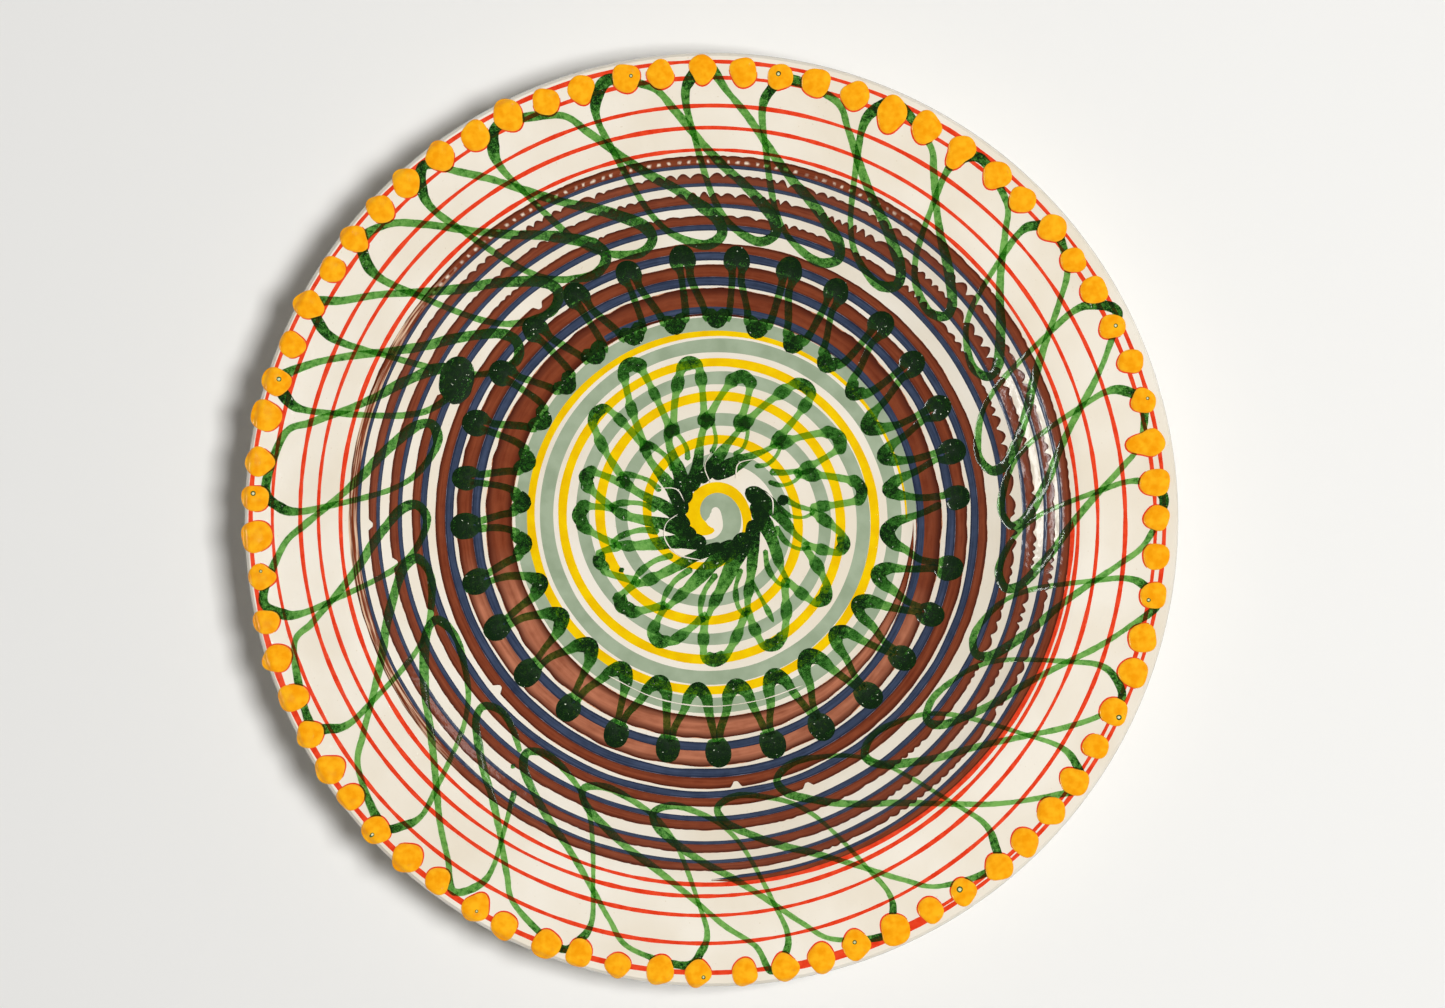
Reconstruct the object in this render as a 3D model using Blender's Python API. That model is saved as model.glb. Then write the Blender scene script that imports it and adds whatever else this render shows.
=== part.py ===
"""A wheel-thrown, slip-trailed ceramic plate.

The plate is one thrown clay body on a turned foot ring. Its decoration is laid on the face as raised coats:
banded spirals of red, brown, blue, grey and yellow slip, green glaze trailed over them as rim loops, wall
hairpins and a centre rosette, and orange drops set around the rim. Each coat is a solid of its own.

Frame: metres, +Z up, origin at the middle of the foot ring's resting face.
"""

import math

import bmesh
import bpy
from mathutils import Vector

MM = 0.001

# ---------------------------------------------------------------- driving dimensions
RIM_RADIUS = 190 * MM
RIM_HEIGHT = 50 * MM
FLOOR_RADIUS = 78 * MM
FLOOR_TOP = 10 * MM
FLOOR_UNDERSIDE = 3.2 * MM
FOOT_OUTER_RADIUS = 82.5 * MM
FOOT_INNER_RADIUS = 74.5 * MM
SHOULDER_RADIUS = 146 * MM
BODY_STEPS = 48  # flats around the turned body

# The face in section, from the floor up the wall, over the shoulder and out along the flange.
FACE_SECTION = [
    (0.0, FLOOR_TOP),
    (FLOOR_RADIUS, FLOOR_TOP),
    (86 * MM, 11.8 * MM),
    (96 * MM, 16.0 * MM),
    (110 * MM, 22.0 * MM),
    (124 * MM, 28.6 * MM),
    (134 * MM, 34.2 * MM),
    (141 * MM, 39.0 * MM),
    (SHOULDER_RADIUS, 41.9 * MM),
    (152 * MM, 43.8 * MM),
    (163 * MM, 45.2 * MM),
    (176 * MM, 47.0 * MM),
    (RIM_RADIUS - 2.6 * MM, RIM_HEIGHT - 0.5 * MM),
]
# The rounded lip and the underside, from the lip down to the foot ring.
LIP_AND_UNDERSIDE = [
    (RIM_RADIUS - 1.5 * MM, RIM_HEIGHT - 0.3 * MM),
    (RIM_RADIUS - 0.5 * MM, RIM_HEIGHT - 1.5 * MM),
    (RIM_RADIUS, RIM_HEIGHT - 3.4 * MM),
    (RIM_RADIUS - 0.9 * MM, RIM_HEIGHT - 5.4 * MM),
    (RIM_RADIUS - 3.2 * MM, RIM_HEIGHT - 6.6 * MM),
    (163 * MM, 38.6 * MM),
    (150 * MM, 36.4 * MM),
    (144 * MM, 33.4 * MM),
    (132 * MM, 25.8 * MM),
    (116 * MM, 17.6 * MM),
    (98 * MM, 9.6 * MM),
    (88 * MM, 5.6 * MM),
    (FOOT_OUTER_RADIUS + 0.8 * MM, 4.6 * MM),
    (FOOT_OUTER_RADIUS, 0.0),
    (FOOT_INNER_RADIUS, 0.0),
    (FOOT_INNER_RADIUS - 1.2 * MM, FLOOR_UNDERSIDE),
    (0.0, FLOOR_UNDERSIDE),
]

# How far each coat's underside stands off the face, and how thick the coat is at its crest.
BAND_LIFT, BAND_THICKNESS = 0.35 * MM, 0.40 * MM
TRAIL_LIFT, TRAIL_THICKNESS = 1.45 * MM, 0.55 * MM
CROSSING_STEP = 0.95 * MM  # how much higher a trail runs where it crosses an earlier pass
DROP_LIFT, DROP_THICKNESS = 1.10 * MM, 1.20 * MM

# The banding turntable was not quite centred, so each family of spirals has its own middle.
RED_CENTRE = (-2.0 * MM, 0.0)
WALL_CENTRE = (-1.5 * MM, 0.4 * MM)
WELL_CENTRE = (0.6 * MM, 0.4 * MM)

# Spiral radii at each whole turn from the first number, growing outwards as the spiral runs clockwise.
RED_TURNS = (0, [r * MM for r in (149.0, 151.6, 159.6, 170.4, 181.6, 185.6)])
BLUE_TURNS = (-1, [r * MM for r in (84.5, 89.9, 101.1, 110.5, 121.9, 130.1, 138.2, 144.0, 147.5)])
YELLOW_TURNS = (-1, [r * MM for r in (5.0, 15.0, 35.0, 53.0, 67.5, 78.5)])
GREY_TURNS = (-1, [r * MM for r in (1.0, 25.0, 43.8, 60.4, 73.6, 82.0)])
BLUE_WIDTHS = (-1, [w * MM for w in (3.2, 3.4, 3.5, 3.3, 2.2, 1.7, 1.4, 1.2, 1.2)])
BROWN_WIDTHS = (-1, [w * MM for w in (0.9, 4.8, 4.8, 4.0, 3.6, 3.8, 2.8, 2.6, 2.4)])
RED_WIDTH = 1.5 * MM
YELLOW_WIDTH = 3.0 * MM
GREY_WIDTH = 5.6 * MM
BAND_GAP = 0.4 * MM

# Where the tops of the rim loops come, in degrees counter-clockwise from +X.
LOOP_TOPS = (-110, -94, -82, -68, -51, -36, -24, -11, 2, 15, 27, 40, 53, 66, 80, 91, 103, 118, 129, 141)
LOOP_TOPS += (152, 162, 176, 190, 206, 223, 235)
HAIRPINS = 30
PETALS = 17
DROPS = 71
DROPS_PER_NODE = 2

COLOURS = {
    "clay": (0.62, 0.42, 0.28, 1.0),
    "red_slip": (0.80, 0.06, 0.02, 1.0),
    "brown_slip": (0.16, 0.035, 0.018, 1.0),
    "blue_slip": (0.03, 0.06, 0.16, 1.0),
    "grey_slip": (0.33, 0.39, 0.30, 1.0),
    "yellow_slip": (0.85, 0.60, 0.01, 1.0),
    "green_glaze": (0.02, 0.13, 0.02, 1.0),
    "orange_glaze": (0.92, 0.38, 0.01, 1.0),
}
ROUGHNESS = {"clay": 0.75}
GLAZE_ROUGHNESS = 0.15


# ---------------------------------------------------------------- shared helpers
def clear_scene():
    for obj in list(bpy.data.objects):
        bpy.data.objects.remove(obj, do_unlink=True)


def material(name):
    found = bpy.data.materials.get(name)
    if found:
        return found
    made = bpy.data.materials.new(name)
    made.use_nodes = True
    shader = made.node_tree.nodes["Principled BSDF"]
    shader.inputs["Base Color"].default_value = COLOURS[name]
    shader.inputs["Roughness"].default_value = ROUGHNESS.get(name, GLAZE_ROUGHNESS)
    return made


def smooth_through(points, x):
    """Height at x on a curve through points that never overshoots between them (monotone cubic)."""
    xs = [p[0] for p in points]
    last = len(points) - 2
    i = next((k for k in range(last) if x < xs[k + 1]), last)
    slopes = [(b[1] - a[1]) / (b[0] - a[0]) for a, b in zip(points, points[1:])]

    def tangent(k):
        if k in (0, len(points) - 1):
            return slopes[min(k, last)]
        before, after = slopes[k - 1], slopes[k]
        return 0.0 if before * after <= 0 else 2 * before * after / (before + after)

    step = xs[i + 1] - xs[i]
    t = min(max((x - xs[i]) / step, 0.0), 1.0)
    start, end = points[i][1], points[i + 1][1]
    return (
        start * (1 + 2 * t) * (1 - t) ** 2
        + tangent(i) * step * t * (1 - t) ** 2
        + end * t * t * (3 - 2 * t)
        + tangent(i + 1) * step * t * t * (t - 1)
    )


def at_turn(turns, turn):
    """The value at a turn of a spiral whose values at whole turns are listed from a first turn."""
    first, values = turns
    return smooth_through([(first + k, v) for k, v in enumerate(values)], turn)


def face_point(radius, angle, lift=0.0, centre=(0.0, 0.0)):
    """A point at this radius and angle about centre, lifted off the face along the face's normal."""
    x = centre[0] + radius * math.cos(angle)
    y = centre[1] + radius * math.sin(angle)
    out = math.hypot(x, y)
    nudge = 0.5 * MM
    low = max(out - nudge, 0.0)
    rise = smooth_through(FACE_SECTION, out + nudge) - smooth_through(FACE_SECTION, low)
    slope = math.atan2(rise, out + nudge - low)
    away = Vector((x, y, 0.0)) / max(out, 1e-9)
    normal = Vector((0, 0, math.cos(slope))) - away * math.sin(slope)
    return Vector((x, y, smooth_through(FACE_SECTION, out))) + normal * lift


def add_object(name, mesh_data, material_name):
    mesh = bpy.data.meshes.new(name)
    mesh_data.to_mesh(mesh)
    mesh_data.free()
    mesh.materials.append(material(material_name))
    obj = bpy.data.objects.new(name, mesh)
    bpy.context.scene.collection.objects.link(obj)
    return obj


def add_ribbon(name, sections, material_name):
    """A closed solid through three-point sections: one edge, the other edge, and the crest above them."""
    mesh = bmesh.new()
    rows = [[mesh.verts.new(p) for p in section] for section in sections]
    for row, following in zip(rows, rows[1:]):
        for k in range(3):
            mesh.faces.new((row[k], row[(k + 1) % 3], following[(k + 1) % 3], following[k]))
    mesh.faces.new(reversed(rows[0]))
    mesh.faces.new(rows[-1])
    bmesh.ops.recalc_face_normals(mesh, faces=mesh.faces)
    return add_object(name, mesh, material_name)


# ---------------------------------------------------------------- the thrown body
def add_clay_body():
    """The body, turned from its half section, which starts and ends on the axis."""
    section = FACE_SECTION + LIP_AND_UNDERSIDE
    mesh = bmesh.new()
    points = [mesh.verts.new((radius, 0.0, height)) for radius, height in section]
    for point, following in zip(points, points[1:]):
        mesh.edges.new((point, following))
    body = add_object("clay_body", mesh, "clay")
    turned = body.modifiers.new("turned", "SCREW")
    turned.steps = turned.render_steps = BODY_STEPS
    turned.use_merge_vertices = True
    turned.merge_threshold = 0.00001
    turned.use_smooth_shade = True


# ---------------------------------------------------------------- banded slips
def add_spiral(name, material_name, first, last, steps, edges, centre):
    """A spiral band from its first turn to its last. edges(turn) gives its inner and outer radius."""
    sections = []
    count = round((last - first) * steps)
    for k in range(count + 1):
        turn = first + (last - first) * k / count
        angle = -2 * math.pi * turn
        inner, outer = edges(turn)
        crest = BAND_LIFT + BAND_THICKNESS
        sections.append(
            (
                face_point(inner, angle, BAND_LIFT, centre),
                face_point(outer, angle, BAND_LIFT, centre),
                face_point((inner + outer) / 2, angle, crest, centre),
            )
        )
    add_ribbon(name, sections, material_name)


def even_edges(turns, width):
    """Edges of a band of one width that follows the listed radii."""

    def edges(turn):
        middle = at_turn(turns, turn)
        return middle - width / 2, middle + width / 2

    return edges


def blue_edges(turn):
    middle, width = at_turn(BLUE_TURNS, turn), at_turn(BLUE_WIDTHS, turn)
    return middle - width / 2, middle + width / 2


def brown_edges(turn):
    """Brown lies against the outside of the blue line that runs with it."""
    inner = blue_edges(turn)[1] + BAND_GAP
    return inner, inner + at_turn(BROWN_WIDTHS, turn)


def add_banding():
    add_spiral("red_slip_spiral", "red_slip", 0.0, 5.2, 36, even_edges(RED_TURNS, RED_WIDTH), RED_CENTRE)
    add_spiral("brown_slip_spiral", "brown_slip", -0.875, 6.25, 48, brown_edges, WALL_CENTRE)
    add_spiral("blue_slip_spiral", "blue_slip", -0.3125, 6.25, 48, blue_edges, WALL_CENTRE)
    yellow, grey = even_edges(YELLOW_TURNS, YELLOW_WIDTH), even_edges(GREY_TURNS, GREY_WIDTH)
    add_spiral("yellow_slip_spiral", "yellow_slip", -0.5, 3.75, 28, yellow, WELL_CENTRE)
    add_spiral("grey_slip_spiral", "grey_slip", -0.25, 3.75, 28, grey, WELL_CENTRE)


# ---------------------------------------------------------------- trailed green glaze
def trail_position(u, top, advance, outer, inner, lean, swing):
    """Angle (degrees) and radius along one wave of a trail, from one top (u = 0) to the next (u = 1).

    lean carries the inner turn sideways, and swing opens the wave into a loop or closes it into a hairpin.
    """
    wave = 2 * math.pi * u
    inward = (1 - math.cos(wave)) / 2
    angle = top + advance * u + lean * inward + swing * math.sin(wave)
    return angle, outer + (inner - outer) * inward


def add_trail(name, places, half_width):
    """A trailed line through places, each an angle in degrees, a radius and an extra lift off the face."""
    points = [
        face_point(radius, math.radians(angle), TRAIL_LIFT + extra) for angle, radius, extra in places
    ]
    crests = [
        face_point(radius, math.radians(angle), TRAIL_LIFT + TRAIL_THICKNESS + extra)
        for angle, radius, extra in places
    ]
    sections = []
    for k, (point, crest) in enumerate(zip(points, crests)):
        along = points[min(k + 1, len(points) - 1)] - points[max(k - 1, 0)]
        side = along.cross(crest - point).normalized() * half_width
        sections.append((point - side, point + side, crest))
    add_ribbon(name, sections, "green_glaze")


def waves(tops, steps, shape, crossing=0.0):
    """Places along a run of waves, one for each gap between neighbouring tops."""
    places = []
    for top, following in zip(tops, tops[1:]):
        for k in range(steps):
            u = k / steps
            angle, radius = trail_position(u, top, following - top, *shape)
            rise = min(max(-1.4 * math.sin(2 * math.pi * u), -1), 1)
            places.append((angle, radius, crossing * (1 + rise) / 2))
    return places


def add_green_trails():
    loop_shape = (176.5 * MM, 116.5 * MM, -19.0, 6.6)
    add_trail("green_rim_loops", waves(LOOP_TOPS, 20, loop_shape, CROSSING_STEP), 1.6 * MM)
    hairpin_tops = [360 / HAIRPINS * k for k in range(HAIRPINS)]
    hairpin_shape = (108.5 * MM, 78.0 * MM, -1.5, -1.6)
    add_trail("green_wall_hairpins", waves(hairpin_tops, 7, hairpin_shape), 1.3 * MM)
    petal_tops = [360 / PETALS * k for k in range(PETALS)]
    petal_shape = (65.0 * MM, 26.0 * MM, 14.0, 0.0)
    add_trail("green_centre_rosette", waves(petal_tops, 8, petal_shape), 1.2 * MM)


# ---------------------------------------------------------------- rim drops
def add_drops():
    """Orange drops around the rim, a few to a node, each few joined by the thread of glaze between them."""
    ring_radius = 183.0 * MM
    drop_radius, thread_half_width = 4.7 * MM, 0.6 * MM
    across = (-0.97, -0.7, 0.0, 0.7, 0.97)  # where sections cross a drop, as shares of its radius
    for number, first in enumerate(range(0, DROPS, DROPS_PER_NODE), start=1):
        sections = []
        for drop in range(first, min(first + DROPS_PER_NODE, DROPS)):
            middle = 2 * math.pi * drop / DROPS
            for share in across:
                half = max(drop_radius * math.sqrt(1 - share * share), thread_half_width)
                angle = middle + share * drop_radius / ring_radius
                crest = DROP_LIFT + DROP_THICKNESS * max(1 - share * share, 0.25)
                sections.append(
                    (
                        face_point(ring_radius - half, angle, DROP_LIFT),
                        face_point(ring_radius + half, angle, DROP_LIFT),
                        face_point(ring_radius, angle, crest),
                    )
                )
        add_ribbon(f"orange_drops_{number:02d}", sections, "orange_glaze")


def main():
    clear_scene()
    add_clay_body()
    add_banding()
    add_green_trails()
    add_drops()


main()
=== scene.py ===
# %% [markdown]
# # A slip-trailed plate, made in the order a potter makes it
# The plate is thrown in one lump and its foot is turned from the same clay. Coloured slips are banded
# onto the face on a slow wheel, then green glaze is trailed across them, orange drops are set round the
# rim, and the firing melts it all under one clear gloss. Each coat is a piece of its own here, laid on
# the one below.

# %% Bench and body box
import math

import bpy
import numpy as np
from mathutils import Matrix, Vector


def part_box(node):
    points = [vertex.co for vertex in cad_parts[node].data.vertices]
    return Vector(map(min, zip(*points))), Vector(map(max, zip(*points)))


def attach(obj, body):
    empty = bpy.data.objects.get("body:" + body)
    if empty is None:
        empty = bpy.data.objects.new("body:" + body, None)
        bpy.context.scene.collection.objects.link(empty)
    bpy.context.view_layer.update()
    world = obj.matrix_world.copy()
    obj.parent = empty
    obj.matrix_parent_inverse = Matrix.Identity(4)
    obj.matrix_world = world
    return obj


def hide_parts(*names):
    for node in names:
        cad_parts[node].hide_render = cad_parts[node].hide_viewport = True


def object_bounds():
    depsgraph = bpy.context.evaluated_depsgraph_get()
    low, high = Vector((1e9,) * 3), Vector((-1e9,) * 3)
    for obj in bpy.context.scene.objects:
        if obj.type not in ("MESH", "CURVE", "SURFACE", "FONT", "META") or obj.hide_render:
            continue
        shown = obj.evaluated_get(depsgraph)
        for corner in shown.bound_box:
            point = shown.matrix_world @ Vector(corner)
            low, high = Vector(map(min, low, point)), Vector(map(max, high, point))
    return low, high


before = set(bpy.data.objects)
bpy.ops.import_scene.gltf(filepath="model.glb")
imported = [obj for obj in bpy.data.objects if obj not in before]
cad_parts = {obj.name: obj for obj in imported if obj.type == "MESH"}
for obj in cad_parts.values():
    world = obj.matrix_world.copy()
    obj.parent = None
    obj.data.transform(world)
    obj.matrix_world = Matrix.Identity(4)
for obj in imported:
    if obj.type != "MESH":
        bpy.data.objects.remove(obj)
MM = 0.001
cad_low, cad_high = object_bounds()
CAD_BOX = [[float(v) for v in cad_low], [float(v) for v in cad_high]]
RIM_RADIUS = (CAD_BOX[1][0] - CAD_BOX[0][0]) / 2
RIM_HEIGHT = float(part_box("clay_body")[1][2])
chance = np.random.default_rng(27)
print(f"rim {RIM_RADIUS / MM:.1f} mm out, {RIM_HEIGHT / MM:.1f} mm up")

# %% [markdown]
# ## Camera, table and light
# The plate is looked at from straight above, from about two metres, so the wall of the bowl is only
# slightly foreshortened. A soft light hangs almost overhead, a little to the right, so the rim throws a
# short shadow to the left. On a real glaze it would be screened from the eye, so here it lights the plate
# and isn't mirrored. Two windows do the opposite: they only show in the gloss, and the left one puts the
# broken white streaks on the right wall of the bowl. The room is bright low down and dark above.


# %% Camera, table and light
def to_linear(channel):
    return channel / 12.92 if channel <= 0.04045 else ((channel + 0.055) / 1.055) ** 2.4


def tone(hex_code):
    """A linear RGBA colour from an sRGB hex code."""
    return tuple(to_linear(int(hex_code[i : i + 2], 16) / 255) for i in (1, 3, 5)) + (1.0,)


def add_node(tree, kind, inputs=(), output=0, **settings):
    """Adds a shader node and gives back one of its outputs.

    inputs are values or other nodes' outputs, in the order of the node's sockets, or under their names or
    numbers.
    """
    node = tree.nodes.new("ShaderNode" + kind)
    for name, value in settings.items():
        setattr(node, name, value)
    for place, value in inputs.items() if isinstance(inputs, dict) else enumerate(inputs):
        if isinstance(value, bpy.types.NodeSocket):
            tree.links.new(value, node.inputs[place])
        else:
            node.inputs[place].default_value = value
    return node.outputs[output]


CAMERA_HEIGHT = 1.85
LOOKED_AT = (4.5 * MM, 6.3 * MM)  # the point on the plate that is straight under the lens
FRAME_WIDTH = 587 * MM  # how much of the rim's plane the picture takes in
SENSOR_WIDTH = 36.0
TABLE_SIZE = 8.0
TABLE_GAP = 0.2 * MM  # keeps the table top clear of the foot ring

camera_data = bpy.data.cameras.new("overhead_camera")
camera_data.sensor_width = SENSOR_WIDTH
camera_data.lens = SENSOR_WIDTH * (CAMERA_HEIGHT - RIM_HEIGHT) / FRAME_WIDTH
overhead = bpy.data.objects.new("overhead_camera", camera_data)
overhead.location = (*LOOKED_AT, CAMERA_HEIGHT)
bpy.context.scene.collection.objects.link(overhead)
bpy.context.scene.camera = overhead

bpy.ops.object.select_all(action="DESELECT")
bpy.ops.mesh.primitive_plane_add(size=TABLE_SIZE, location=(0, 0, CAD_BOX[0][2] - TABLE_GAP))
table_top = bpy.context.object
table_top.name = "table_top"
paper = bpy.data.materials.new("white_table_top")
paper.use_nodes = True
paper.node_tree.nodes["Principled BSDF"].inputs["Base Color"].default_value = tone("#EEEDEA")
paper.node_tree.nodes["Principled BSDF"].inputs["Roughness"].default_value = 0.7
table_top.data.materials.append(paper)


def add_lamp(name, place, size, watts, mirrored, aimed_at=(0.0, 0.0, 0.03)):
    """A soft light that lights the plate, or a mirrored one that only shows in its gloss."""
    lamp = bpy.data.lights.new(name, "AREA")
    lamp.shape = "RECTANGLE"
    lamp.size, lamp.size_y = size
    lamp.energy = watts
    holder = bpy.data.objects.new(name, lamp)
    bpy.context.scene.collection.objects.link(holder)
    away = np.array(place) - np.array(aimed_at)
    turn = math.atan2(away[1], away[0])
    tilt = math.atan2(math.hypot(away[0], away[1]), away[2])
    holder.location = place
    holder.rotation_euler = (0.0, tilt, turn)
    holder.visible_glossy = mirrored
    holder.visible_diffuse = not mirrored


add_lamp("key_softbox", (0.52, 0.0, 2.1), (0.45, 0.45), 43.5, mirrored=False)
add_lamp("window_left", (-1.5, -0.25, 0.95), (0.16, 0.8), 4.0, mirrored=True)
add_lamp("strip_right", (1.4, 1.15, 0.85), (0.15, 0.7), 1.2, mirrored=True)

# The room glows at 0.36 where it is seen low down, and falls to 0.06 from well above the horizon.
room = bpy.data.worlds.new("pale_room")
room.use_nodes = True
glowing = room.node_tree.nodes["Background"].inputs
glowing["Color"].default_value = tone("#F2F2F2")
gaze = add_node(room.node_tree, "TexCoord", output="Generated")
upwards = add_node(room.node_tree, "SeparateXYZ", [gaze], output="Z")
glow = add_node(room.node_tree, "MapRange", [upwards, 0.35, 0.8, 0.36, 0.06])
room.node_tree.links.new(glow, glowing["Strength"])
bpy.context.scene.world = room
bpy.context.scene.view_settings.view_transform = "Standard"
print(f"lens {camera_data.lens:.0f} mm")

# %% [markdown]
# ## The section of the plate
# One curve fixes the whole face: a flat well, a wall that steepens up to the shoulder, and a wide flange
# that still rises a little to a rounded lip. It repeats the section of the body in the frame. A short
# list of points with a smooth curve through them is used, and not the body's own mesh, because every coat
# has to ask it for a height and a slope at any place.


# %% The section of the plate
FACE_SECTION = [(0, 10), (78, 10), (86, 11.8), (96, 16.0), (110, 22.0), (124, 28.6), (134, 34.2)]
FACE_SECTION += [(141, 39.0), (146, 41.9), (152, 43.8), (163, 45.2), (176, 47.0), (187.4, 49.5)]
LIP = [(188.5, 49.7), (189.5, 48.5), (190.0, 46.6)]
UNDERSIDE = [(190.0, 46.6), (189.1, 44.6), (186.8, 43.4), (163, 38.6), (150, 36.4), (144, 33.4)]
UNDERSIDE += [(132, 25.8), (116, 17.6), (98, 9.6), (88, 5.6), (83.3, 4.6), (82.9, 1.4), (82.5, 0.4)]
UNDERSIDE += [(81.7, 0.0), (75.4, 0.0), (74.6, 0.4), (74.0, 1.6), (73.0, 2.8), (70.0, 3.2), (36.0, 3.2)]
UNDERSIDE += [(0.0, 3.2)]


def smooth_through(points, x):
    """Height at x on a curve through points that never overshoots between them (monotone cubic)."""
    xs = [p[0] for p in points]
    last = len(points) - 2
    i = next((k for k in range(last) if x < xs[k + 1]), last)
    slopes = [(b[1] - a[1]) / (b[0] - a[0]) for a, b in zip(points, points[1:])]

    def tangent(k):
        if k in (0, len(points) - 1):
            return slopes[min(k, last)]
        before, after = slopes[k - 1], slopes[k]
        return 0.0 if before * after <= 0 else 2 * before * after / (before + after)

    step = xs[i + 1] - xs[i]
    t = min(max((x - xs[i]) / step, 0.0), 1.0)
    start, end = points[i][1], points[i + 1][1]
    return (
        start * (1 + 2 * t) * (1 - t) ** 2
        + tangent(i) * step * t * (1 - t) ** 2
        + end * t * t * (3 - 2 * t)
        + tangent(i + 1) * step * t * t * (t - 1)
    )


FACE_RADII = np.arange(0, 189.6, 0.2) * MM
FACE_HEIGHTS = np.array([smooth_through(FACE_SECTION + LIP, r / MM) for r in FACE_RADII]) * MM
FACE_SLOPES = np.gradient(FACE_HEIGHTS, FACE_RADII)


def on_face(x, y, lift):
    """Points lifted off the face along its normal, over places seen from above."""
    out = np.hypot(x, y)
    slope = np.interp(out, FACE_RADII, FACE_SLOPES)
    rise = lift / np.sqrt(1 + slope**2)
    pull = 1 - slope * rise / np.maximum(out, 1e-6)
    return np.stack([x * pull, y * pull, np.interp(out, FACE_RADII, FACE_HEIGHTS) + rise], axis=-1)


print(f"face {FACE_HEIGHTS[0] / MM:.1f} to {FACE_HEIGHTS.max() / MM:.1f} mm high")

# %% [markdown]
# ## Glazes
# All the colours lie under one clear glaze, fired to a gloss, so they share its sharp highlights and its
# faint orange-peel surface. A slip is clay stained with an oxide: opaque, matt in itself, a little
# cloudy, and streaky where a brush laid it. The green is copper melted into the glaze. It lets the
# colours beneath through, bright where it is thin and nearly black where it has pooled.
#
# Every colour is mixed by nodes from noise, whose grain is given in millimetres. A line's own map, with
# metres along it and -1 to 1 across it, carries the brush marks and the darker and paler edges.


# %% Clear glaze and slips
def new_material(name):
    """A material, its node tree and its Principled shader's inputs."""
    made = bpy.data.materials.new(name)
    made.use_nodes = True
    return made, made.node_tree, made.node_tree.nodes["Principled BSDF"].inputs


def glaze_skin(tree, where):
    """The faint unevenness of the clear glaze: soft waves with a fine orange peel on them."""
    waves = add_node(tree, "TexNoise", {"Vector": where, "Scale": 1 / (9 * MM), "Detail": 2.0})
    peel = add_node(tree, "TexNoise", {"Vector": where, "Scale": 1 / (1.6 * MM), "Detail": 2.0})
    faint = add_node(tree, "Math", [peel, 0.12], operation="MULTIPLY")
    height = add_node(tree, "Math", [waves, faint], operation="ADD")
    return add_node(tree, "Bump", {"Strength": 0.55, "Distance": 0.7 * MM, "Height": height})


def slip_colour(tree, where, deep, pale, grain):
    """Opaque slip laid evenly: two tones that drift into each other in blotches about one grain across."""
    mottle = add_node(tree, "TexNoise", {"Vector": where, "Scale": 1 / grain, "Detail": 3.0})
    share = add_node(tree, "MapRange", [mottle, 0.35, 0.65])
    return add_node(tree, "Mix", {0: share, 6: tone(deep), 7: tone(pale)}, output=2, data_type="RGBA")


def slip_glaze(name, deep, pale, grain):
    """A slip under clear glaze, on a piece that is laid evenly."""
    made, tree, shader = new_material(name)
    where = add_node(tree, "TexCoord", output="Object")
    tree.links.new(slip_colour(tree, where, deep, pale, grain), shader["Base Color"])
    shader["Roughness"].default_value = SLIP_SHINE
    tree.links.new(glaze_skin(tree, where), shader["Normal"])
    return made


SLIP_SHINE = 0.12  # roughness of clear glaze over slip
# Trailed from a fine nozzle: a stained slip so strong that the line stays one flat, hot red.
red_slip = slip_glaze("vermilion_slip", "#DE3616", "#EC4A28", 3 * MM)
# Banded on with a full brush: even, dull and cool beside the white.
grey_slip = slip_glaze("grey_green_slip", "#96A589", "#A5B398", 9 * MM)
# Banded over the grey with a lighter hand: the cleanest colour of the well.
yellow_slip = slip_glaze("yellow_slip", "#EDBC00", "#F6CC02", 6 * MM)
# Dropped on thick, so that it stands in domes, each with its own highlight.
orange_slip = slip_glaze("orange_slip", "#F79D06", "#FFB61A", 3 * MM)
# Copper green that was caught in a drop and boiled: a dark ring with a pale, burst middle.
green_bead = slip_glaze("green_blister", "#12300F", "#2F6A24", 1 * MM)
pale_bead = slip_glaze("pale_blister", "#C9D09A", "#F0EAC4", 1 * MM)
print(len(bpy.data.materials), "materials")

# %% [markdown]
# The brown and the blue are brushed on while the wheel turns, which leaves streaks along the line. The
# slip gathers dark beside its edges and feathers out pale at them. Three amounts, painted along the line,
# say where the brown is lifted to a pale pink, which is painted sheen for soft light mirrored in the lower
# wall over partly thin slip, where the brush skipped and left a row of dots, and where it is worn through
# to the ground.

# %% Brushed slips
DOT_SPACING = 4.0 * MM


def pale_dots(tree, along, across, mottle):
    """A row of round dots a little off the line's middle, uneven in spacing and strength."""
    beat = add_node(tree, "Math", [along, 2 * math.pi / DOT_SPACING], operation="MULTIPLY")
    drift = add_node(tree, "Math", [mottle, 7.0], operation="MULTIPLY")
    beat = add_node(tree, "Math", [beat, drift], operation="ADD")
    beat = add_node(tree, "Math", [beat], operation="COSINE")
    beat = add_node(tree, "MapRange", [beat, 0.1, 1.0])
    row = add_node(tree, "Math", [across, 0.1], operation="ADD")
    row = add_node(tree, "Math", [row], operation="ABSOLUTE")
    row = add_node(tree, "MapRange", [row, 0.38, 0.02])
    dots = add_node(tree, "Math", [beat, row], operation="MULTIPLY")
    strength = add_node(tree, "MapRange", [mottle, 0.35, 0.5, 0.3, 1.3])
    return add_node(tree, "Math", [dots, strength], operation="MULTIPLY")


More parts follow.
